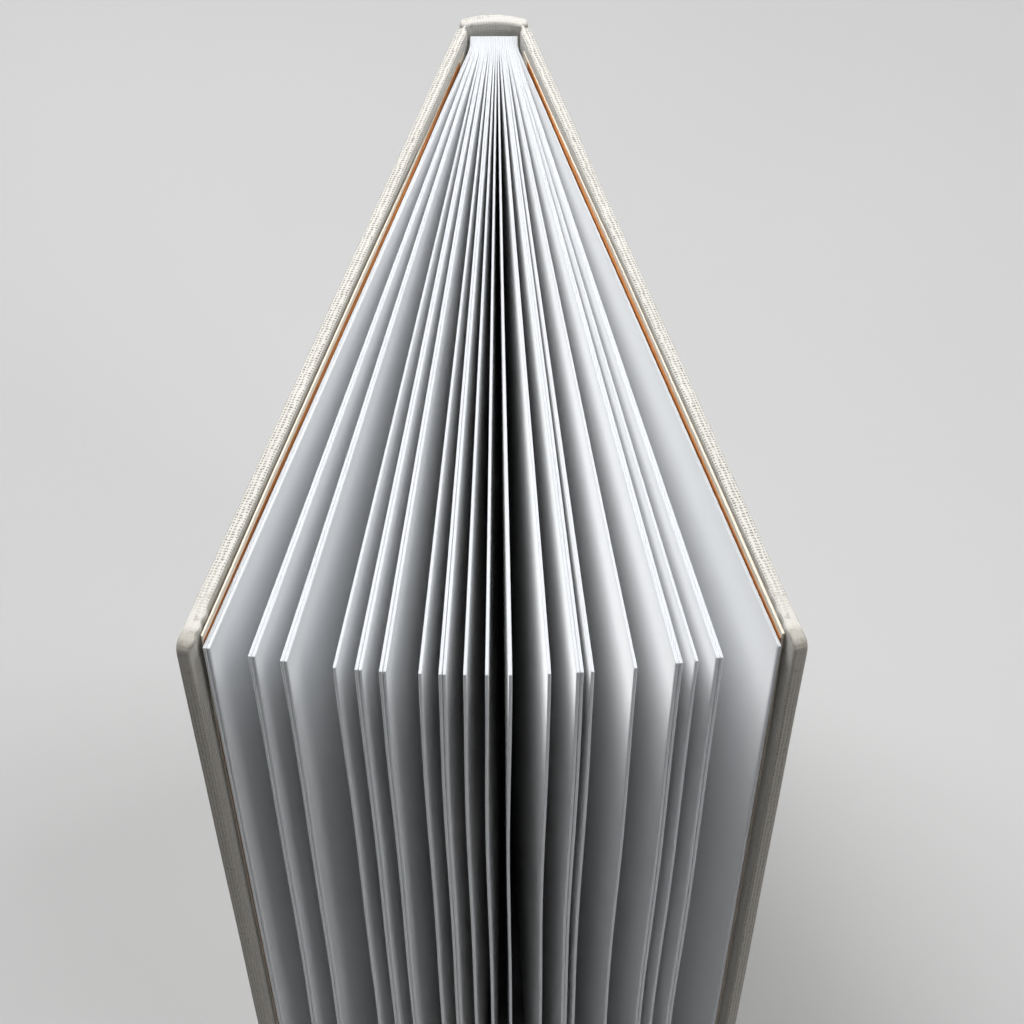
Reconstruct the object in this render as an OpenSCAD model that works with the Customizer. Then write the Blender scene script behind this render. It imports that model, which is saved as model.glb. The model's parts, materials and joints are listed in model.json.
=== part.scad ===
// Photo book in a cloth case, standing on its tail with its leaves fanned open.
// The spine is at +Y, the fore-edge at -Y, the front cover at -X and the head at +Z.
// A cover is drawn about its own joint: w runs outwards (+X), u towards the fore-edge (-Y).

/* [Leaves] */
// Width of a leaf, from the glued back to the fore-edge
page_w = 210; // [150:1:300]
// Height of a leaf, from tail to head
page_h = 297; // [200:1:400]
// Thickness of one leaf at its glued back
leaf_t = 0.42; // [0.3:0.02:0.6]
// Thickness of one leaf at its fore-edge, where its two sheets spring apart
tip_t = 0.72; // [0.6:0.02:1]
// Air between two leaves that lie together
leaf_play = 0.04; // [0.02:0.01:0.1]
// Depth of the glued back that holds the leaves
glue_depth = 2.5; // [2:0.5:8]
// Length in which a leaf bends from the glued back into the fan
bend_len = 6; // [4:1:30]

/* [Covers] */
// Angle of each cover from the middle of the book, in degrees
opening = 15.4; // [10:0.2:30]
// Thickness of a cover board
board_t = 2.4; // [1.5:0.1:3.5]
// Thickness of the linen
cloth_t = 0.4; // [0.25:0.05:0.6]
// How far the covers stand out past the leaves
overhang = 3.2; // [2:0.1:6]
// Width of the linen turned in over a board's edge
turn_in = 15; // [8:1:25]
// Open seam where two turned-in edges meet at a corner
mitre_gap = 0.2; // [0.1:0.05:0.5]
// Rounding of a cover's two fore-edge corners
corner_r = 3; // [1:0.5:8]
// Rounding of the linen along a cover's edges
edge_r = 0.7; // [0.5:0.1:1]
// How far a cover's inner face lies inside the axis of its joint
cover_set = 1.6; // [1:0.1:2.5]

/* [Spine] */
// Thickness of the spine board
spine_board_t = 2.4; // [1.5:0.1:3.5]
// Rise of the arch of the spine
spine_rise = 1.2; // [0.6:0.1:1.6]
// How far the roll of linen at each joint stands out past the spine's faces
roll_extra = 0.15; // [0.1:0.05:0.4]
// How far the spine board stops short of a joint's axis
board_short = 0.6; // [0.3:0.1:1.5]
// Thickness of the lining on the back of the block
lining_t = 0.4; // [0.2:0.1:0.8]
// Thickness of the lining's flanges on the first and last leaf
flange_t = 0.3; // [0.2:0.05:0.5]
// How far the lining's flanges stop short of the glue's depth
flange_short = 0.5; // [0:0.1:1.5]
// How far the lining stops short of the leaves at head and tail
lining_inset = 6; // [2:1:20]

/* [Endpapers] */
// Thickness of the cream sheet glued inside a cover
pastedown_t = 0.45; // [0.2:0.05:0.6]
// Thickness of the brown sheet on it
endpaper_t = 0.5; // [0.2:0.05:0.7]
// How far the brown sheet stops short of the cream one
endpaper_inset = 0.3; // [0.1:0.1:2]

/* [Clearances] */
// Air between the roll of the spine linen and the hollow of a cover's linen
joint_gap = 0.3; // [0.2:0.05:0.5]
// How far the joint's linen reaches outside the axis
joint_lip = 0.1; // [0:0.05:0.2]
// Air between the lining and the spine
seat_gap = 0.2; // [0.1:0.05:0.5]
// Air between the block's side and the near end of a board or endpaper
side_gap = 0.5; // [0.3:0.1:1.5]
// Air between the outermost leaf's tip and the endpaper
fan_gap = 0.6; // [0.35:0.05:1]

/* [Hidden] */
$fn = 48;

// Air between the leaves' tips, leaf to leaf from the front cover: it is shared out in this ratio
fan_shares = [
    0.05, 8.1, 0.05, 5.4, 0.05, 9.7, 3.8, 0.05, 3.4, 0.05, 6.4, 3.3, 0.05, 3.4,
    3.7, 4.1, 7.3, 5.2, 0.05, 1.4, 8.2, 7.9, 0.05, 2.5, 3.7, 0.05, 11.8
];
// Straight pieces that make up the bend of a leaf
bend_steps = 3;
// Spare length of a cutting body past the face that it cuts
cut = 1;

leaf_count = len(fan_shares) + 1;
leaf_pitch = leaf_t + leaf_play;
tip_pitch = tip_t / cos(opening) + leaf_play;
block_half = leaf_count * leaf_pitch / 2;
block_side = block_half + flange_t;
flange_d = glue_depth - flange_short;

cover_t = board_t + 2 * cloth_t;
cover_h = page_h + 2 * overhang;
spine_t = spine_board_t + 2 * cloth_t;
roll_r = spine_t / 2 + roll_extra;

// Axis of the back cover's joint, measured from the middle of the block's back
axis_x = block_side + 2 * cloth_t;
axis_y = lining_t + seat_gap + roll_r;
spine_back = axis_y + spine_rise + spine_t / 2;

// The arch of the spine passes through both axes
arch_r = (axis_x * axis_x + spine_rise * spine_rise) / (2 * spine_rise);
arch_y = axis_y + spine_rise - arch_r;

// Faces of a cover, as distances outwards from its joint's axis
inner_w = -cover_set;
outer_w = inner_w + cover_t;
middle_w = inner_w + cover_t / 2;
pastedown_w = inner_w - pastedown_t;
endpaper_w = pastedown_w - endpaper_t;
tip_w = endpaper_w - fan_gap - tip_t / 2;

// Distance from the axis at which a face that lies at w clears the block's side
function clear_u(w) = (block_side + side_gap - axis_x - w * cos(opening)) / sin(opening);
board_u = clear_u(inner_w);
paper_u = clear_u(endpaper_w);

// Tip of the outermost leaf, seen from the cover: a leaf's width away from its root
root_x = block_half - leaf_pitch / 2;
root_u = (root_x - axis_x) * sin(opening) + axis_y * cos(opening);
root_w = (root_x - axis_x) * cos(opening) - axis_y * sin(opening);
tip_u = root_u + sqrt(page_w * page_w - (tip_w - root_w) * (tip_w - root_w));
cover_u = tip_u + overhang;
tip_x = axis_x + tip_u * sin(opening) + tip_w * cos(opening);

// Half of the book's depth stands on each side of the origin
shift_y = (page_w - spine_back) / 2;

function sum(list, last) = last < 0 ? 0 : list[last] + sum(list, last - 1);

// Places of the leaves at the back and at the fore-edge
fan_room = 2 * tip_x - (leaf_count - 1) * tip_pitch;
share_total = sum(fan_shares, leaf_count - 2);
function leaf_root(i) = (i - (leaf_count - 1) / 2) * leaf_pitch;
function leaf_tip(i) = -tip_x + i * tip_pitch + fan_room * sum(fan_shares, i - 1) / share_total;
function leaf_reach(i) = sqrt(page_w * page_w - pow(leaf_tip(i) - leaf_root(i), 2));
function leaf_slope(i) = (leaf_tip(i) - leaf_root(i)) / (leaf_reach(i) - glue_depth - bend_len / 2);

// A leaf's middle line: straight in the glue, a parabola in the bend, then straight to the tip
function bend_point(i, t) = [
    leaf_root(i) + leaf_slope(i) * bend_len * t * t / 2,
    -glue_depth - bend_len * t
];
function leaf_line(i) = concat(
    [[leaf_root(i), 0, 0]],
    [for (s = [0 : bend_steps])
        let (t = s / bend_steps, p = bend_point(i, t))
        [p[0], p[1], atan(leaf_slope(i) * t)]],
    [[leaf_tip(i), -leaf_reach(i), atan(leaf_slope(i))]]
);
// Thickness of a leaf at a distance from its back: it grows evenly from the glue to the tip
function leaf_spread(i, d) = max(0, d - glue_depth) / (leaf_reach(i) - glue_depth);
function leaf_thick(i, d) = leaf_t + (tip_t - leaf_t) * leaf_spread(i, d);
// One face of a leaf, half its thickness from the middle line
function leaf_face(i, side) = [
    for (p = leaf_line(i))
        let (half = side * leaf_thick(i, -p[1]) / 2)
        [p[0] + half * cos(p[2]), p[1] + half * sin(p[2])]
];
function reversed(list) = [for (i = [len(list) - 1 : -1 : 0]) list[i]];

module leaf(i) {
    polygon(concat(leaf_face(i, -1), reversed(leaf_face(i, 1))));
}

module at_back() {
    translate([0, shift_y, 0]) children();
}

// All the leaves, joined only in the glued back
module page_block() {
    color("whitesmoke") at_back() translate([0, 0, overhang])
        linear_extrude(page_h) {
            translate([-block_half, -glue_depth]) square([2 * block_half, glue_depth]);
            for (i = [0 : leaf_count - 1]) leaf(i);
        }
}

// Strip round the back of the block, with a flange on the first and last leaf
module spine_lining() {
    color("oldlace") at_back() translate([0, 0, overhang + lining_inset])
        linear_extrude(page_h - 2 * lining_inset)
            difference() {
                translate([-block_side, -flange_d]) square([2 * block_side, flange_d + lining_t]);
                translate([-block_half, -flange_d - cut]) square([2 * block_half, flange_d + cut]);
            }
}

// The arch at a given thickness, cut off on two lines from its centre, short of both joints' axes
module arch_section(thickness, short) {
    far_y = 2 * arch_r;
    far_x = far_y * (axis_x - short) / (axis_y - arch_y);
    translate([0, arch_y]) intersection() {
        difference() {
            circle(arch_r + thickness / 2);
            circle(arch_r - thickness / 2);
        }
        polygon([[0, 0], [-far_x, far_y], [far_x, far_y]]);
    }
}

module spine_board() {
    color("tan") at_back() translate([0, 0, cloth_t])
        linear_extrude(cover_h - 2 * cloth_t) arch_section(spine_board_t, board_short);
}

// Linen round the spine board, rolled at each joint: inside, it is turned in only at head and tail
module spine_cloth() {
    bare_half = axis_x - roll_r - cloth_t;
    color("gainsboro") at_back() difference() {
        linear_extrude(cover_h) {
            arch_section(spine_t, 0);
            for (side = [-1, 1]) translate([side * axis_x, axis_y]) circle(roll_r);
        }
        translate([0, 0, cloth_t]) linear_extrude(cover_h - 2 * cloth_t)
            arch_section(spine_board_t, board_short);
        translate([0, 0, turn_in]) linear_extrude(cover_h - 2 * turn_in) intersection() {
            translate([0, arch_y]) circle(arch_r);
            translate([-bare_half, 0]) square([2 * bare_half, spine_back]);
        }
    }
}

module rounded_rectangle(x0, x1, y0, y1, r) {
    translate([x0 + r, y0]) square([x1 - x0 - 2 * r, y1 - y0]);
    translate([x0, y0 + r]) square([x1 - x0, y1 - y0 - 2 * r]);
    for (x = [x0 + r, x1 - r], y = [y0 + r, y1 - r]) translate([x, y]) circle(r);
}

// A flat outline in u and z, given thickness from w0 to w1
module upright(w0, w1) {
    translate([w1, 0, 0]) rotate([0, 0, -90]) rotate([90, 0, 0]) linear_extrude(w1 - w0) children();
}

// Side view of a cover or board: only its two fore-edge corners are rounded
module cover_outline(inset) {
    r = corner_r - inset;
    rounded_rectangle(board_u - 2 * cover_t - r, cover_u - inset, inset, cover_h - inset, r);
}

// Plan of a cover or board: round at the joint, straight to the fore-edge
module cover_plan(thickness, inset, r) {
    translate([middle_w, -board_u]) circle(thickness / 2);
    w0 = middle_w - thickness / 2;
    translate([w0, -cover_u + inset + r]) square([thickness, cover_u - inset - r - board_u]);
    if (r > 0) {
        translate([w0 + r, -cover_u + inset]) square([thickness - 2 * r, 2 * r]);
        for (w = [w0 + r, w0 + thickness - r]) translate([w, -cover_u + inset + r]) circle(r);
    }
}

module board() {
    intersection() {
        linear_extrude(cover_h) cover_plan(board_t, cloth_t, 0);
        upright(inner_w, outer_w) cover_outline(cloth_t);
    }
}

// The wrapped cover as one body, its edges rounded all round
module wrapped_cover() {
    intersection() {
        linear_extrude(cover_h) cover_plan(cover_t, 0, edge_r);
        upright(inner_w, outer_w) cover_outline(0);
        rotate([90, 0, 0]) linear_extrude(cover_u)
            rounded_rectangle(inner_w, outer_w, 0, cover_h, edge_r);
    }
}

// Doubled linen from the board to the hollow that turns on the roll of the spine
module joint_strip() {
    linear_extrude(cover_h) difference() {
        translate([joint_lip - 2 * cloth_t, -board_u]) square([2 * cloth_t, board_u]);
        circle(roll_r + joint_gap);
    }
}

// Edges of the opening that the turned-in linen leaves on the inside of a cover
window_u = cover_u - turn_in;
window_top = cover_h - turn_in;

module window(w0, w1, inset, u0) {
    translate([w0, -window_u + inset, turn_in + inset])
        cube([w1 - w0, window_u - inset - u0, window_top - turn_in - 2 * inset]);
}

// Seams from the corners of that opening to the corners of the cover
module mitre_seams() {
    length = 2 * turn_in;
    for (end = [[turn_in, 135], [window_top, 45]])
        translate([inner_w - cut, -window_u, end[0]]) rotate([end[1] + 90, 0, 0])
            translate([0, -mitre_gap / 2, 0]) cube([cut + cloth_t, mitre_gap, length]);
}

module cover_cloth() {
    difference() {
        union() {
            wrapped_cover();
            joint_strip();
        }
        board();
        window(inner_w - cut, inner_w + cloth_t, 0, board_u);
        mitre_seams();
    }
}

// Sheet that lies on the turned-in linen and sinks to the board inside it
module pastedown() {
    margin = [overhang, cover_h - overhang];
    difference() {
        translate([pastedown_w, -cover_u + overhang, margin[0]])
            cube([pastedown_t, cover_u - overhang - paper_u, margin[1] - margin[0]]);
        window(pastedown_w - cut, inner_w + cut, pastedown_t, paper_u - cut);
    }
    difference() {
        window(pastedown_w, inner_w + cloth_t, 0, paper_u);
        window(pastedown_w - cut, inner_w + cloth_t - pastedown_t, pastedown_t, paper_u - cut);
    }
}

module endpaper() {
    margin = overhang + endpaper_inset;
    translate([endpaper_w, -cover_u + margin, margin])
        cube([endpaper_t, cover_u - margin - paper_u, cover_h - 2 * margin]);
}

// The back cover stands at +X, and the front cover is its mirror image
module back_place() {
    at_back() translate([axis_x, axis_y, 0]) rotate([0, 0, opening]) children();
}

module front_place() {
    mirror([1, 0, 0]) back_place() children();
}

module front_board() { color("tan") front_place() board(); }
module front_cloth() { color("gainsboro") front_place() cover_cloth(); }
module front_pastedown() { color("ivory") front_place() pastedown(); }
module front_endpaper() { color("peru") front_place() endpaper(); }
module back_board() { color("tan") back_place() board(); }
module back_cloth() { color("gainsboro") back_place() cover_cloth(); }
module back_pastedown() { color("ivory") back_place() pastedown(); }
module back_endpaper() { color("peru") back_place() endpaper(); }

page_block();
spine_lining();
spine_board();
spine_cloth();
front_board();
front_cloth();
front_pastedown();
front_endpaper();
back_board();
back_cloth();
back_pastedown();
back_endpaper();
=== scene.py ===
# %% [markdown]
# # A photo book in a linen case
#
# The book stands on its tail, and its leaves fan out between two covers. We dress the CAD model of it in
# Blender: the solids give every place and size, and this lesson works out the soft, woven and papery
# surfaces that lie on them. All lengths below are in millimetres, and only the last step turns them to
# metres.

# %% Load the CAD frame
import json
import math

import bmesh
import bpy
import numpy as np
from mathutils import Matrix, Vector


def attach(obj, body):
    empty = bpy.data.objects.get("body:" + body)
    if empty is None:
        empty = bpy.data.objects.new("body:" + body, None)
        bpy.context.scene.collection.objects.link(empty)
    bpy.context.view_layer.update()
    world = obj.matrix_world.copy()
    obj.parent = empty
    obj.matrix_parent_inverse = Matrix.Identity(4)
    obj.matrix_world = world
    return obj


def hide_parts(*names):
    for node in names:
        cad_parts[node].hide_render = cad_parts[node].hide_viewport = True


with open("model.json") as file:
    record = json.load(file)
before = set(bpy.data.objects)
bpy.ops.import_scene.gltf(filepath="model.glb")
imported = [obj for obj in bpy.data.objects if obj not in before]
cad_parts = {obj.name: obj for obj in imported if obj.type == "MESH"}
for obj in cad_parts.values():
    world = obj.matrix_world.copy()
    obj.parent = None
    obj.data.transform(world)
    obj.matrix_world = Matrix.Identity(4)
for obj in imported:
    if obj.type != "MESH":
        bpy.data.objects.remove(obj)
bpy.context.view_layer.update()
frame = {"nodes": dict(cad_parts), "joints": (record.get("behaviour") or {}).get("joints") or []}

# %% [markdown]
# ## The sizes of the book
#
# A cover turns about an axis at the edge of the spine. So we describe it from there: `w` runs outwards from
# the axis, `u` towards the fore-edge and `z` up. One function then brings such a point to its place in the
# book, with `side` -1 for the front cover and +1 for the back cover, which is its mirror image.

# %% Sizes and the place of a cover
MM = 0.001
PAGE_W, PAGE_H = 210.0, 297.0
OVERHANG, COVER_T, CLOTH_T, TURN_IN = 3.2, 3.2, 0.4, 15.0
COVER_H = PAGE_H + 2 * OVERHANG
OPENING = math.radians(15.4)

back_joint = next(j for j in frame["joints"] if j["child"] == "back_cover")
AXIS_X, AXIS_Y = back_joint["pos_m"][0] / MM, back_joint["pos_m"][1] / MM
BACK_Y = AXIS_Y - 2.35                      # the glued back of the leaves
HALF = COVER_T / 2
COVER_U = 215.106                           # from the joint's axis to the fore-edge of a cover


def place(side, w, u, z):
    """Turns (w, u) by the opening about the joint's axis, and mirrors x for the front cover."""
    x = AXIS_X + w * math.cos(OPENING) + u * math.sin(OPENING)
    y = AXIS_Y + w * math.sin(OPENING) - u * math.cos(OPENING)
    return np.stack(np.broadcast_arrays(side * x, y, z), axis=-1)


print("joint axis at", round(AXIS_X, 2), round(AXIS_Y, 2), "and cover height", COVER_H)

# %% [markdown]
# ## From arrays to a mesh
#
# Every new piece is a numpy array of points. Blender wants a flat list of points and a list of faces, so
# one helper makes the mesh, writes its surface coordinates (for the weave they are millimetres along the
# cloth), welds the rows that fall together, clears away most of the faces that have no area left, and
# checks that the faces look outwards: a closed mesh has a positive volume.

# %% Mesh helper


def make_piece(name, points, faces, surface=None, sharp=35):
    """Makes an object at the origin from points in mm. surface holds two numbers for each point, kept as a
    UV map."""
    mesh = bpy.data.meshes.new(name)
    mesh.from_pydata((points.reshape(-1, 3) * MM).tolist(), [], faces.tolist())
    if surface is not None:
        corner = np.empty(len(mesh.loops), dtype=np.int32)
        mesh.loops.foreach_get("vertex_index", corner)
        uv = mesh.uv_layers.new(name="surface")
        uv.data.foreach_set("uv", surface.reshape(-1, 2)[corner].astype(np.float32).ravel())
    bm = bmesh.new()
    bm.from_mesh(mesh)
    bmesh.ops.remove_doubles(bm, verts=bm.verts, dist=0.002 * MM)
    bmesh.ops.dissolve_degenerate(bm, dist=0.002 * MM, edges=bm.edges)
    if bm.calc_volume(signed=True) < 0:
        bmesh.ops.reverse_faces(bm, faces=bm.faces)
    bm.to_mesh(mesh)
    bm.free()
    mesh.shade_smooth()
    mesh.set_sharp_from_angle(angle=math.radians(sharp))
    piece = bpy.data.objects.new(name, mesh)
    bpy.context.scene.collection.objects.link(piece)
    print(name, "has", len(mesh.polygons), "faces")
    return piece


def smooth(t):
    """0 below 0, 1 above 1, and an S-shaped rise between: 3t^2 - 2t^3."""
    t = np.clip(t, 0, 1)
    return t * t * (3 - 2 * t)


def eased(steps, power):
    """Numbers from 0 to 1, closer together towards both ends where the power is over 1."""
    t = np.linspace(-1, 1, steps)
    return (np.sign(t) * (1 - (1 - np.abs(t)) ** power) + 1) / 2


# %% [markdown]
# ## Thin sheets
#
# A leaf, a pastedown or an endpaper is a thin solid sheet: two faces, worked out as grids of the same
# shape, and a narrow edge all round that joins them. The helper takes any number of sheets at once, so the
# whole fan of leaves is one call.

# %% A closed sheet from two faces


def sheet_faces(sheets, cols, rows):
    """Faces of closed sheets whose points are numbered (sheet, face, column, row): both faces and four
    edges."""
    c, r = np.arange(cols - 1)[:, None], np.arange(rows - 1)[None, :]
    a = c * rows + r
    other = cols * rows
    near = np.stack([a, a + rows, a + rows + 1, a + 1], axis=-1).reshape(-1, 4)
    k = np.arange(cols - 1) * rows
    tail = np.stack([k, k + other, k + other + rows, k + rows], axis=-1)
    head = (tail + rows - 1)[:, ::-1]
    j = np.arange(rows - 1)
    back = np.stack([j, j + 1, j + other + 1, j + other], axis=-1)
    fore = (back + (cols - 1) * rows)[:, ::-1]
    one = np.concatenate([near, near[:, ::-1] + other, tail, head, back, fore])
    return (one[None] + (np.arange(sheets) * 2 * other)[:, None, None]).reshape(-1, 4)


print("a sheet of 3 by 3 points has", len(sheet_faces(1, 3, 3)), "faces")

# %% [markdown]
# ## The fan of leaves
#
# Twenty-eight stiff leaves are glued along their backs. A leaf is straight in the glue, bends over a few
# millimetres and then runs straight to its tip. It is made of two sheets that spring apart a little, so it
# grows thicker towards the fore-edge. We could pose each leaf by hand, but the book shares its room
# unevenly: some leaves lie in pairs, and some stand far apart. A list of shares sets the air between the
# tips, and numpy works out all the leaves at once. A slow wave keeps the paper from looking like sheet
# metal, and the outer leaves bow out a little towards the covers, close to the glue.

# %% Leaves
LEAF_T, TIP_T, LEAF_PLAY = 0.42, 0.72, 0.04
GLUE, BEND, SOFT = 2.5, 6.0, 0.12           # SOFT is the rounding of the cut edges
SHARES = np.array([0.05, 8.1, 0.05, 5.4, 0.05, 9.7, 3.8, 0.05, 3.4, 0.05, 6.4, 3.3, 0.05, 3.4,
                   3.7, 4.1, 7.3, 5.2, 0.05, 1.4, 8.2, 7.9, 0.05, 2.5, 3.7, 0.05, 11.8])
LEAVES = len(SHARES) + 1
TIP_X = 60.43                               # tip of the last leaf, from the middle of the book


def leaf_solids(cols=15, rows=23):
    """Two faces of every leaf. With d the distance from the back, a leaf's middle line is at x = root +
    slope * (b^2 / 2 BEND + what lies past the bend), where b is how far d is into the bend. The second of
    the surface coordinates is 0 on one face and 1 on the other, so it runs across the edges, and the last
    row along an edge is drawn in, which rounds it."""
    number = np.arange(LEAVES)
    root = (number - (LEAVES - 1) / 2) * (LEAF_T + LEAF_PLAY)
    pitch = TIP_T / math.cos(OPENING) + LEAF_PLAY
    room = 2 * TIP_X - (LEAVES - 1) * pitch
    tip = -TIP_X + number * pitch + room * np.concatenate([[0], np.cumsum(SHARES)]) / SHARES.sum()
    reach = np.sqrt(PAGE_W ** 2 - (tip - root) ** 2)
    slope = (tip - root) / (reach - GLUE - BEND / 2)
    start = np.array([0, GLUE, GLUE + 0.25 * BEND, GLUE + 0.5 * BEND, GLUE + 0.75 * BEND])
    rest = np.linspace(0, 1, cols - len(start))[None] * (reach[:, None] - 1 - GLUE - BEND) + GLUE + BEND
    fore = reach[:, None] - np.array([[SOFT, 0]])
    d = np.concatenate([np.repeat(start[None], LEAVES, axis=0), rest, fore], axis=1)[:, :, None]
    tip, reach, slope, root = (value[:, None, None] for value in (tip, reach, slope, root))
    b = np.clip(d - GLUE, 0, BEND)
    z = np.concatenate([[0, SOFT], np.linspace(1, PAGE_H - 1, rows), [PAGE_H - SOFT, PAGE_H]])[None, None, :]
    free = np.clip((d - GLUE) / (reach - GLUE), 0, 1)
    inner = 1 - (tip / TIP_X) ** 8
    wave = 0.35 * inner * free ** 1.5 * (np.sin(z / 47 + tip / 18) + 0.4 * np.sin(z / 19 + tip / 9 + d / 40))
    near_glue = smooth((d - GLUE) / 14) * (1 - smooth((d - 15) / 30))
    bow = 0.5 * np.sign(tip) * np.abs(tip / TIP_X) ** 6 * near_glue
    x = root + slope * (b ** 2 / (2 * BEND) + np.maximum(d - GLUE - BEND, 0)) + wave + bow
    turn = np.arctan(slope * b / BEND)
    thick = LEAF_T + (TIP_T - LEAF_T) * free
    inset = SOFT * ((reach - d < SOFT / 2) | (np.minimum(z, PAGE_H - z) < SOFT / 2))
    half = thick / 2 - inset
    middle = np.stack(np.broadcast_arrays(x, BACK_Y - d, z + OVERHANG), axis=-1)
    across = np.stack(np.broadcast_arrays(half * np.cos(turn), half * np.sin(turn), 0 * z), axis=-1)
    faces = np.array([1, -1])[None, :, None, None, None]
    share = (inset / thick)[:, None]
    surface = np.stack(np.broadcast_arrays(d[:, None], np.concatenate([share, 1 - share], axis=1)), axis=-1)
    return middle[:, None] + faces * across[:, None], surface


leaf_points, leaf_surface = leaf_solids()
leaf_faces = sheet_faces(LEAVES, *leaf_points.shape[2:4])
leaves = make_piece("leaves", leaf_points, leaf_faces, leaf_surface, sharp=50)

# %% [markdown]
# ## The linen on a cover
#
# The linen is glued round a board: over the outside, over the edges and a little way in on the inside. A
# cylinder-like grid does this in one go. Its columns go round the cover's section, from the strip at the
# joint over the outside, round the fore-edge and back along the inside, and its rows go up the cover. At
# head and tail the rows round off and close to a line. Thread coordinates are the distances walked along
# the cloth, so the weave runs over the edges without a break. The faces where the board shows on the inside
# are left out.

# %% A section carried up the cover
EDGE_R, CORNER_R = 0.7, 3.0
BOARD_U = 4.68                              # middle of the board's round end at the joint
STRIP_IN, STRIP_OUT = -0.7, 0.1             # inside and outside of the linen strip at the joint
STRIP_U, STRIP_TO = 2.05, 2.95              # its end, just clear of the roll that it turns on, and its root


def arc(cw, cu, r, start, end, steps):
    """Points of a circle's arc in (w, u), with the angles in degrees from the w axis."""
    a = np.radians(np.linspace(start, end, steps))
    return np.stack([cw + r * np.cos(a), cu + r * np.sin(a)], axis=-1)


def line(w0, u0, w1, u1, steps, ease=1.0):
    """Points from one end to the other, closer to both ends where ease is over 1."""
    t = eased(steps, ease)
    return np.stack([w0 + (w1 - w0) * t, u0 + (u1 - u0) * t], axis=-1)


def cover_section():
    """The closed section: strip at the joint, round end, outside, fore-edge, inside and back to the strip.
    Its outside and inside have points at the same u, so they meet where the ends of the cover close."""
    fore = COVER_U - EDGE_R
    return np.concatenate([
        line(STRIP_IN, STRIP_U, STRIP_OUT, STRIP_U, 4),
        line(STRIP_OUT, STRIP_U + 0.25, STRIP_OUT, STRIP_TO, 3),
        arc(0, BOARD_U, HALF, -64, 0, 8),
        line(HALF, BOARD_U + 1, HALF, fore - 0.3, 110, 2.0),
        arc(HALF - EDGE_R, fore, EDGE_R, 0, 90, 7),
        line(HALF - EDGE_R - 0.2, COVER_U, -HALF + EDGE_R + 0.2, COVER_U, 4),
        arc(-HALF + EDGE_R, fore, EDGE_R, 90, 180, 7),
        line(-HALF, fore - 0.3, -HALF, BOARD_U + 1, 110, 2.0),
        arc(0, BOARD_U, HALF, 180, 244, 8),
        line(STRIP_IN, STRIP_TO, STRIP_IN, STRIP_U + 0.25, 3),
        line(STRIP_IN, STRIP_U, STRIP_IN, STRIP_U, 1),
    ])


def end_rows(height, half, r, steps=6):
    """Rows up a piece of that height whose edges are rounded by r: each row's z and its share of the full
    thickness. At both ends the share falls to r's start on the rounding, and then to nothing on the flat
    end."""
    a = np.radians(np.linspace(0, 90, steps))
    z_round, half_round = r - r * np.cos(a), half - r + r * np.sin(a)
    flat = np.linspace(0, half - r, 4)[:-1]
    body = (r + (height - 2 * r) * eased(90, 2.0))[1:-1]
    z = np.concatenate([0 * flat, z_round, body, height - z_round[::-1], height - 0 * flat])
    share = np.concatenate([flat, half_round, half + 0 * body, half_round[::-1], flat[::-1]]) / half
    return z, share


def walked(*steps):
    """Distance walked along points given by their coordinates."""
    return np.concatenate([[0], np.cumsum(np.sqrt(sum(np.diff(s) ** 2 for s in steps)))])


def tube_faces(rows, cols, keep=None):
    """Faces of a grid of rows by cols points; keep says which of them are wanted."""
    a = np.arange(rows - 1)[:, None] * cols + np.arange(cols - 1)[None, :]
    faces = np.stack([a, a + 1, a + cols + 1, a + cols], axis=-1)
    return faces[keep] if keep is not None else faces.reshape(-1, 4)


section = cover_section()
FORE_WALK = walked(*section.T)[section[:, 1] > COVER_U - 0.001].mean()
print("the cover's section has", len(section), "points and is", round(walked(*section.T)[-1]), "mm round")

# %% [markdown]
# The real cloth is not perfectly flat. Where it is folded over a corner it lies double, in small lumps on
# the inside edge. Both are added as heights over the section before the cover is put in its place. The
# cloth has a thickness too, so the same grid is made twice: the second one is drawn in a little from all
# sides, and a rim joins the two round the opening. Blender's Solidify modifier does nearly the same, but at
# the closed ends it has no clear direction to go in.

# %% Linen of both covers
SKIN = 0.36                                 # thickness of the linen over the boards
FOLDS = {-1: ((2.5, 6.0, 9.6), 0.62), 1: ((5.5, 10.0, 14.5), 0.34)}   # places from the fore-edge, height


def rim_faces(rows, cols, bare_rows, bare_cols):
    """Faces that join two such grids round an opening: its edge is walked once, on the first grid and the
    second."""
    point = np.arange(rows * cols).reshape(rows, cols)
    low, high, left, right = bare_rows[0], bare_rows[-1] + 1, bare_cols[0], bare_cols[-1] + 1
    edge = np.concatenate([point[low, left:right], point[low:high, right],
                           point[high, right:left:-1], point[high:low:-1, left]])
    ahead = np.roll(edge, -1)
    return np.stack([edge, ahead, ahead + rows * cols, edge + rows * cols], axis=-1)


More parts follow.
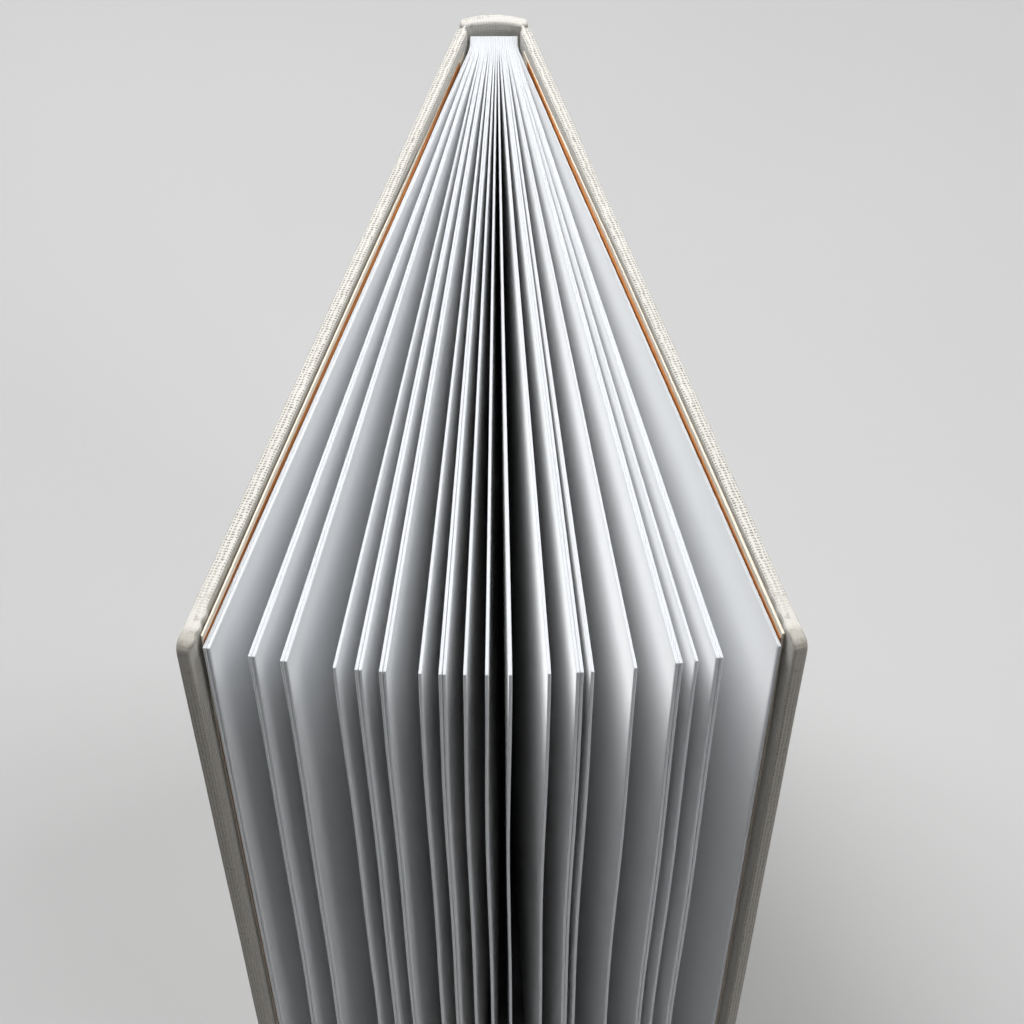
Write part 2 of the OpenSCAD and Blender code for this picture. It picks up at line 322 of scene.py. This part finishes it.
def cover_linen(side, name):
    """The section carried up the cover: w shrinks on the rounded ends, half as much on the inside, where
    the cloth is pulled tight, and u draws back on the round corners."""
    w0, u0 = section.T
    z, share = end_rows(COVER_H, HALF, EDGE_R)
    z, share = z[:, None], share[:, None]
    flat = 1 - EDGE_R / HALF
    tight = np.where(share < flat, share * (1 + flat) / (2 * flat), (1 + share) / 2)
    near_end = np.minimum(z, COVER_H - z)
    rest = np.clip(CORNER_R - near_end, 0, CORNER_R)
    draw = CORNER_R - np.sqrt(CORNER_R ** 2 - rest ** 2)
    u = u0 - draw * smooth((u0 - COVER_U + 14) / 14) ** 2
    inside = smooth((-w0 - 0.5) / 0.8)
    outside = smooth((w0 - 0.5) / 0.8)
    uneven = 0.05 * (np.sin(u / 23 + side) * np.sin(z / 31) + np.sin(u / 7.3 + z / 11.7 + 2 * side))
    places, rise = FOLDS[side]
    lumps = smooth(1 - np.abs(u[..., None] - (COVER_U - np.array(places))) / 1.8).sum(axis=-1)
    fold = lumps * smooth((5 - near_end) / 4) * rise
    height = outside * uneven * 0.6 - inside * (fold + 0.3 * uneven)
    w = w0 * np.where(w0 < 0, tight, share) + height * share
    t = (u - STRIP_U) / (COVER_U - STRIP_U)
    drawn_in = place(side, w * (1 - SKIN / HALF), u + 0.2 - (0.2 + SKIN) * t,
                     SKIN + z * (1 - 2 * SKIN / COVER_H))
    points = np.stack([place(side, w, u, z), drawn_in])
    across, up = walked(w0, u0), walked(z[:, 0], share[:, 0] * HALF)
    walks = np.broadcast_arrays(across[None, None, :], up[None, :, None], points[..., 0])[:2]
    thread = np.stack(walks, axis=-1)
    middle_u = (u0[1:] + u0[:-1]) / 2
    bare_u = (w0[1:] + w0[:-1] < -2 * HALF + 0.2) & (middle_u < COVER_U - TURN_IN) & (middle_u > BOARD_U + 1)
    middle_z = (z[1:, 0] + z[:-1, 0]) / 2
    bare_z = (middle_z > TURN_IN) & (middle_z < COVER_H - TURN_IN)
    skin = tube_faces(*w.shape, ~(bare_z[:, None] & bare_u[None, :]))
    rim = rim_faces(*w.shape, np.flatnonzero(bare_z), np.flatnonzero(bare_u))
    return make_piece(name, points, np.concatenate([skin, skin[:, ::-1] + w.size, rim]), thread, sharp=60)


front_linen = cover_linen(-1, "front_linen")
back_linen = cover_linen(1, "back_linen")

# %% [markdown]
# ## The linen on the spine
#
# The spine is a shallow arch from joint to joint, and at each joint its linen rolls over to a bead that the
# cover turns on. It is made as the covers are: a closed section, here an arch with round ends, carried
# upwards. Its inside is filled, because the spine's board is never seen.

# %% Linen of the spine
RISE, SPINE_HALF, ROLL_R = 1.2, 1.6, 1.78
FULLER, SPINE_EDGE_R = 0.8, 0.9             # how far the outside swells, and the rounding of its ends
ARCH_R = (AXIS_X ** 2 + RISE ** 2) / (2 * RISE)
ARCH_Y = AXIS_Y + RISE - ARCH_R


def spine_linen_points():
    """Offsets from the arch's middle line: outwards along the outside, which is a little fuller in the
    middle, round the ends, and inwards along the inside."""
    spread = math.asin(AXIS_X / ARCH_R)
    t = np.linspace(-1, 1, 31)
    bead = SPINE_HALF + (ROLL_R - SPINE_HALF) * smooth((np.abs(t) - 0.86) / 0.14)
    turn = np.linspace(0, math.pi, 15)[1:-1]
    angle = np.concatenate([t * spread, 0 * turn + spread, t[::-1] * spread, 0 * turn - spread, [-spread]])
    full = FULLER * (1 - t ** 2)
    offset = np.concatenate([bead + full, 0 * turn + ROLL_R, bead, 0 * turn + ROLL_R, bead[:1]])
    lean = np.concatenate([0 * t, turn, 0 * t + math.pi, math.pi + turn, [2 * math.pi]])
    z, share = end_rows(COVER_H, SPINE_HALF, SPINE_EDGE_R)
    z, share = z[:, None], share[:, None]
    reach = offset * share
    x = ARCH_R * np.sin(angle) + reach * np.sin(angle + lean)
    y = ARCH_Y + ARCH_R * np.cos(angle) + reach * np.cos(angle + lean)
    points = np.stack(np.broadcast_arrays(x, y, z), axis=-1)
    row = len(z) // 2
    across, up = walked(x[row], y[row]), walked(z[:, 0], share[:, 0] * SPINE_HALF)
    thread = np.stack(np.broadcast_arrays(across[None, :], up[:, None]), axis=-1)
    return points, thread


spine_points, spine_thread = spine_linen_points()
spine_faces = tube_faces(*spine_points.shape[:2])
spine_linen = make_piece("spine_linen", spine_points, spine_faces, spine_thread, sharp=60)

# %% [markdown]
# ## Pastedown and endpaper
#
# A cream sheet is pasted to the inside of each cover. It lies on the turned-in linen and sinks to the board
# inside it, in a low step. A flat brown sheet lies on the rim of the cream one, bridges its sunk middle and
# hides the step. Both sheets end short of the fore-edge, so that a dark gap is left beside the leaves. Along
# the head they have come away from the linen a little, most of all at the corner.

# %% Papers inside the covers
PAPER_U, CREAM_T, BROWN_T = 8.13, 0.36, 0.5


def paper_grid(margin, fore, start):
    """Columns u and rows z of a sheet, closer together towards its edges. It ends at fore from the
    fore-edge. The sheet is cut a little out of square: at the joint it is as high as the leaves, and
    further out it comes to the margin."""
    ease = eased(60, 1.7)
    u = (start + (COVER_U - fore - start) * ease)[:, None]
    margin = margin + (OVERHANG + 0.3 - margin) * (1 - smooth((u - 20) / 80))
    return u, margin + (COVER_H - 2 * margin) * ease[None, :]


def cover_papers(side, name, lift, lift_corner, swell, thin):
    """Both sheets of a cover, as depths below its inside. They press together at the joint and stand off
    the linen by lift along the head, and by lift_corner at its corner. Towards the fore-edge the cream
    sheet swells and the brown one grows thin by these shares. Inside the turned-in linen the cream sheet
    sinks to the board."""

    def depths(u, z):
        press = 0.5 + 0.5 * smooth((u - PAPER_U) / 40)
        far = smooth((u - 100) / 100)
        loose = lift * smooth((u - 25) / 60) + (lift_corner - lift) * smooth((u - 165) / 40)
        top = 0.02 + loose * smooth((z - COVER_H + 45) / 42)
        cream = top + CREAM_T * press * (1 + swell * far)
        return top, cream, cream + 0.01, cream + 0.01 + BROWN_T * press * (1 - thin * far)

    made = []
    for sheet, margin, fore, start, sink, k in (("cream", 1.2, 4.8, PAPER_U, CLOTH_T, 0),
                                                ("brown", 3.0, 5.0, PAPER_U + 5, 0, 2)):
        u, z = paper_grid(margin, fore, start)
        well = smooth((COVER_U - TURN_IN - u) / 2.5) * smooth((np.minimum(z, COVER_H - z) - TURN_IN) / 2.5)
        outer, inner = (sink * well - HALF - depth for depth in depths(u, z)[k:k + 2])
        faces = np.stack([place(side, inner, u, z), place(side, outer, u, z)])
        made.append(make_piece(name + "_" + sheet, faces, sheet_faces(1, *faces.shape[1:3])))
    return made


front_cream, front_brown = cover_papers(-1, "front", 0.52, 0.82, 0.0, 0.64)
back_cream, back_brown = cover_papers(1, "back", 0.34, 0.44, 0.6, 0.6)

# %% [markdown]
# ## Materials
#
# One function turns a colour as it is written on the web into Blender's linear numbers, and one adds a node
# with its settings and links. Four short ones use it for the nodes that come up most: a sum, a change of
# range, a noise and a mix of two colours. Most of each material is a chain of those.

# %% Colour and node helpers


def linear(code):
    """sRGB hex to linear RGBA: (c + 0.055) / 1.055 to the power 2.4, with a straight foot below 0.04045."""
    c = [int(code[k:k + 2], 16) / 255 for k in (1, 3, 5)]
    return tuple(v / 12.92 if v <= 0.04045 else ((v + 0.055) / 1.055) ** 2.4 for v in c) + (1.0,)


def add(tree, kind, links=None, **settings):
    """Adds a node, sets its settings, and gives each named input a value or a link."""
    node = tree.nodes.new(kind)
    for key, value in settings.items():
        setattr(node, key, value)
    for socket, value in (links or {}).items():
        if isinstance(value, bpy.types.NodeSocket):
            tree.links.new(value, node.inputs[socket])
        else:
            node.inputs[socket].default_value = value
    return node


def new_material(name):
    """A material whose tree holds only its shader and output."""
    material = bpy.data.materials.new(name)
    material.use_nodes = True
    return material, material.node_tree, material.node_tree.nodes["Principled BSDF"]


def calc(tree, operation, *values):
    """Result of a Math node for its numbers or links."""
    return add(tree, "ShaderNodeMath", dict(enumerate(values)), operation=operation).outputs[0]


def remap(tree, value, low, high, to_low=0.0, to_high=1.0):
    """Brings a value from the range low to high into the range to_low to to_high, and holds it there."""
    links = {"Value": value, "From Min": low, "From Max": high, "To Min": to_low, "To Max": to_high}
    return add(tree, "ShaderNodeMapRange", links).outputs[0]


def noise(tree, where, scale, detail):
    """A soft noise from 0 to 1 with so many lumps to a unit of its coordinates."""
    return add(tree, "ShaderNodeTexNoise", {"Vector": where, "Scale": scale, "Detail": detail}).outputs["Fac"]


def blend(tree, factor, a, b):
    """The colour between a and b at a factor from 0 to 1."""
    return add(tree, "ShaderNodeMix", {"Factor": factor, "A": a, "B": b}, data_type="RGBA").outputs["Result"]


print("mid grey is", round(linear("#808080")[0], 3), "in linear light")

# %% [markdown]
# ### Bookbinding linen
#
# A plain weave: each thread goes over one and under the next. The sine across a thread gives its round
# back, and the product of both sines changes sign from crossing to crossing, which says which thread is on
# top. Dark pores of uneven depth lie between the threads, 0.8 mm apart. Hands have rubbed the corners and
# the ends of the spine, where the pores are closed and the cloth is blotchy. Along the fore-edges the linen
# is mixed towards a warmer, darker grey: painted shade.

# %% Linen
THREAD = 0.8


def linen_cloth(name, worn_across, worn_reach, shaded_fore_across):
    """Undyed linen: light threads, dark pores, slow changes of tone, wear round two points at the head and
    tail, and painted shade in a strip along the fore-edge, centred at the given distance across the cloth."""
    material, tree, shader = new_material(name)
    uv = add(tree, "ShaderNodeUVMap", uv_map="surface").outputs["UV"]
    wander = add(tree, "ShaderNodeTexNoise", {"Vector": uv, "Scale": 0.35, "Detail": 2.0}).outputs["Color"]
    shift = add(tree, "ShaderNodeVectorMath", {0: wander, 1: (0.9, 0.9, 0)}, operation="MULTIPLY").outputs[0]
    moved = add(tree, "ShaderNodeVectorMath", {0: uv, 1: shift}, operation="ADD").outputs[0]
    turns = {0: moved, "Scale": math.pi / THREAD}
    phase = add(tree, "ShaderNodeVectorMath", turns, operation="SCALE").outputs[0]
    axes = add(tree, "ShaderNodeSeparateXYZ", {0: phase}).outputs
    across, along = calc(tree, "SINE", axes[0]), calc(tree, "SINE", axes[1])
    top = calc(tree, "MULTIPLY", across, along)
    over = calc(tree, "MULTIPLY_ADD", top, 0.35, 0.65)
    under = calc(tree, "MULTIPLY_ADD", top, -0.35, 0.65)
    warp = calc(tree, "MULTIPLY", calc(tree, "ABSOLUTE", across), over)
    weft = calc(tree, "MULTIPLY", calc(tree, "ABSOLUTE", along), under)
    height = calc(tree, "MAXIMUM", warp, weft)
    depth = calc(tree, "MULTIPLY_ADD", noise(tree, uv, 0.8, 1.0), 0.5, height)
    thread = remap(tree, depth, 0.46, 0.82)
    corners = [add(tree, "ShaderNodeVectorMath", {0: uv, 1: (worn_across, end, 0)}, operation="DISTANCE")
               for end in (0, COVER_H + 2 * HALF)]
    corner = calc(tree, "MINIMUM", *(node.outputs["Value"] for node in corners))
    rubbed = remap(tree, corner, worn_reach / 4, worn_reach, 0.9, 0.0)
    closed = calc(tree, "MAXIMUM", thread, rubbed)
    tone = blend(tree, noise(tree, uv, 0.06, 4.0), linear("#C9C6BF"), linear("#DAD8D2"))
    blotch = calc(tree, "MULTIPLY", remap(tree, noise(tree, uv, 0.4, 3.0), 0.42, 0.3), rubbed)
    worn = blend(tree, blotch, tone, linear("#A8A299"))
    aside = add(tree, "ShaderNodeSeparateXYZ", {0: uv}).outputs[0]
    aside = calc(tree, "ABSOLUTE", calc(tree, "SUBTRACT", aside, shaded_fore_across))
    # Painted shade: up to 5 mm from the fore-edge the linen is mixed towards a darker, warmer grey.
    fore_edge_shade = blend(tree, remap(tree, aside, 2.0, 5.0, 0.6, 0.0), worn, linear("#9C958A"))
    colour = blend(tree, closed, linear("#6E675D"), fore_edge_shade)
    bump = add(tree, "ShaderNodeBump", {"Height": height, "Strength": 0.4, "Distance": 0.12 * MM})
    tree.links.new(colour, shader.inputs["Base Color"])
    tree.links.new(bump.outputs["Normal"], shader.inputs["Normal"])
    shader.inputs["Roughness"].default_value = 0.85
    shader.inputs["Sheen Weight"].default_value = 0.15
    return material


linen = linen_cloth("bookbinding_linen", FORE_WALK, 32.0, FORE_WALK)
spine_worn = linen_cloth("bookbinding_linen_spine", spine_thread[0, :, 0].mean(), 40.0, -100.0)

# %% [markdown]
# ### Leaf paper
#
# A leaf is coated photo paper: its faces are smooth and a cool white, and its cut edges are a shade greyer,
# though at the head they face the lamps and look the whitest of all. The second surface coordinate is 0 or
# 1 on the faces and lies between them only on an edge, so one number tells where we are. In the middle of
# an edge a fine shadow shows where the two sheets of a leaf part. The satin coat brightens when it is seen
# along the page, which the shader's sheen gives.

# %% Leaf paper


def photo_paper():
    """Cool, smooth page faces, and cut edges a shade greyer, with a fine line between the two sheets."""
    material, tree, shader = new_material("coated_photo_paper")
    uv = add(tree, "ShaderNodeUVMap", uv_map="surface").outputs["UV"]
    across = add(tree, "ShaderNodeSeparateXYZ", {0: uv}).outputs[1]
    here = add(tree, "ShaderNodeTexCoord").outputs["Object"]
    page = blend(tree, noise(tree, here, 40.0, 3.0), linear("#E6E9EC"), linear("#ECEEF1"))
    aside = calc(tree, "ABSOLUTE", calc(tree, "SUBTRACT", across, 0.5))
    edge = blend(tree, remap(tree, aside, 0.0, 0.3), linear("#CED2D6"), linear("#DCDFE3"))
    colour = blend(tree, calc(tree, "GREATER_THAN", aside, 0.495), edge, page)
    tree.links.new(colour, shader.inputs["Base Color"])
    shader.inputs["Roughness"].default_value = 0.55
    shader.inputs["Specular IOR Level"].default_value = 0.3
    shader.inputs["Sheen Weight"].default_value = 1.0
    shader.inputs["Sheen Roughness"].default_value = 0.5
    return material


leaf_paper = photo_paper()

# %% [markdown]
# ### Papers and boards
#
# The cream and brown papers and the grey board are uncoated: short fibres make small specks, which a
# stretched noise gives.

# %% Papers, board and lining


def fibre_paper(name, light, dark, fibre, rough, lumps=0.02):
    """Uncoated paper or board: fibres of that length in mm, as a stretched noise between two tones."""
    material, tree, shader = new_material(name)
    here = add(tree, "ShaderNodeTexCoord").outputs["Object"]
    stretch = (1 / fibre / MM, 0.3 / fibre / MM, 1 / fibre / MM)
    specks = add(tree, "ShaderNodeMapping", {"Vector": here, "Scale": stretch}).outputs[0]
    links = {"Vector": specks, "Scale": 1.0, "Detail": 5.0, "Roughness": 0.65}
    grain = add(tree, "ShaderNodeTexNoise", links).outputs["Fac"]
    colour = blend(tree, remap(tree, grain, 0.3, 0.7), linear(dark), linear(light))
    bump = add(tree, "ShaderNodeBump", {"Height": grain, "Strength": 0.3, "Distance": lumps * MM})
    tree.links.new(colour, shader.inputs["Base Color"])
    tree.links.new(bump.outputs["Normal"], shader.inputs["Normal"])
    shader.inputs["Roughness"].default_value = rough
    return material


cream_paper = fibre_paper("cream_laid_paper", "#F3EBDD", "#E6DBC8", 0.8, 0.8)
brown_paper = fibre_paper("brown_kraft_paper", "#C5803F", "#A9652C", 0.8, 0.8)
grey_board = fibre_paper("grey_board", "#B4AA99", "#978C7B", 0.9, 0.9, 0.06)
gauze = fibre_paper("glued_gauze", "#E6E1D6", "#D5CFC1", 0.6, 0.9, 0.06)

# %% [markdown]
# ## Dressing the book
#
# Every piece says which material and record slot it has, which body it rides on and which CAD node it
# stands for. The boards and the lining keep their CAD shape, and only get their material.

# %% Materials, bodies and nodes
DRESS = [
    (leaves, leaf_paper, "leaf_paper", "block", "page_block"),
    (spine_linen, spine_worn, "linen", "block", "spine_cloth"),
    (front_linen, linen, "linen", "front_cover", "front_cloth"),
    (back_linen, linen, "linen", "back_cover", "back_cloth"),
    (front_cream, cream_paper, "cream_paper", "front_cover", "front_pastedown"),
    (back_cream, cream_paper, "cream_paper", "back_cover", "back_pastedown"),
    (front_brown, brown_paper, "brown_paper", "front_cover", "front_endpaper"),
    (back_brown, brown_paper, "brown_paper", "back_cover", "back_endpaper"),
]
for piece, material, slot, body, node in DRESS:
    piece.data.materials.append(material)
    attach(piece, body)
    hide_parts(node)

for name, material in (("front_board", grey_board), ("back_board", grey_board),
                       ("spine_board", grey_board), ("spine_lining", gauze)):
    for place_for_material in frame["nodes"][name].material_slots:
        place_for_material.material = material
print("dressed", len(DRESS), "pieces")

# %% [markdown]
# ## Camera, floor and light
#
# The photograph looks down at the head and fore-edge from close by. The lens and place below were worked
# out from the lines of the covers. The floor is plain and pale. Two soft boxes hang high on the left and
# right, a little behind the book, so their light falls along the heads and down between the leaves, and the
# fore-edges and deep gaps lie in shade. A weak one in front and one behind open the shadows.

# %% Camera
camera = bpy.data.objects.new("camera", bpy.data.cameras.new("camera"))
camera.data.sensor_width, camera.data.lens = 36, 72.37
camera_at = Vector((3.41, -350.15, 653.7)) * MM
down, yaw, roll = math.radians(51.01), math.radians(0.183), math.radians(-0.04)
look = Vector((math.sin(yaw) * math.cos(down), math.cos(yaw) * math.cos(down), -math.sin(down)))
camera.matrix_world = (Matrix.Translation(camera_at)
                       @ look.to_track_quat("-Z", "Y").to_matrix().to_4x4() @ Matrix.Rotation(roll, 4, "Z"))
camera.data.clip_start = 0.01
bpy.context.scene.collection.objects.link(camera)
bpy.context.scene.camera = camera
print("camera looks along", [round(v, 3) for v in look])

# %% Floor
floor_points = np.array([[-4000, -4000, 0], [4000, -4000, 0], [4000, 4000, 0], [-4000, 4000, 0]], dtype=float)
floor_mesh = bpy.data.meshes.new("floor")
floor_mesh.from_pydata((floor_points * MM).tolist(), [], [[0, 1, 2, 3]])
floor = bpy.data.objects.new("floor", floor_mesh)
bpy.context.scene.collection.objects.link(floor)
paint, paint_tree, paint_shader = new_material("floor_paint")
where = add(paint_tree, "ShaderNodeTexCoord").outputs["Object"]
shade = blend(paint_tree, noise(paint_tree, where, 6.0, 2.0), linear("#C6C6C6"), linear("#C9C9C9"))
paint_tree.links.new(shade, paint_shader.inputs["Base Color"])
paint_shader.inputs["Roughness"].default_value = 0.9
floor_mesh.materials.append(paint)

# %% Light


def soft_box(name, place_m, width, height, watts):
    """A plain rectangular lamp that looks at the head of the book."""
    lamp = bpy.data.lights.new(name, "AREA")
    lamp.shape, lamp.size, lamp.size_y, lamp.energy = "RECTANGLE", width, height, watts
    box = bpy.data.objects.new(name, lamp)
    box.location = place_m
    box.rotation_euler = (Vector((0, 0, 0.28)) - box.location).to_track_quat("-Z", "Y").to_euler()
    bpy.context.scene.collection.objects.link(box)


soft_box("left_box", (-0.4, 0.35, 1.45), 0.5, 0.8, 20)
soft_box("right_box", (0.9, 0.35, 1.45), 0.5, 0.8, 8.5)
soft_box("front_box", (1.2, -1.1, 1.2), 0.8, 0.8, 7)
soft_box("back_box", (0, 1.7, 1.4), 2.4, 1.0, 5)
world = bpy.data.worlds.new("world")
world.use_nodes = True
world.node_tree.nodes["Background"].inputs["Color"].default_value = (0.9, 0.95, 1.0, 1)
world.node_tree.nodes["Background"].inputs["Strength"].default_value = 0.02
bpy.context.scene.world = world
bpy.context.scene.view_settings.view_transform = "Standard"
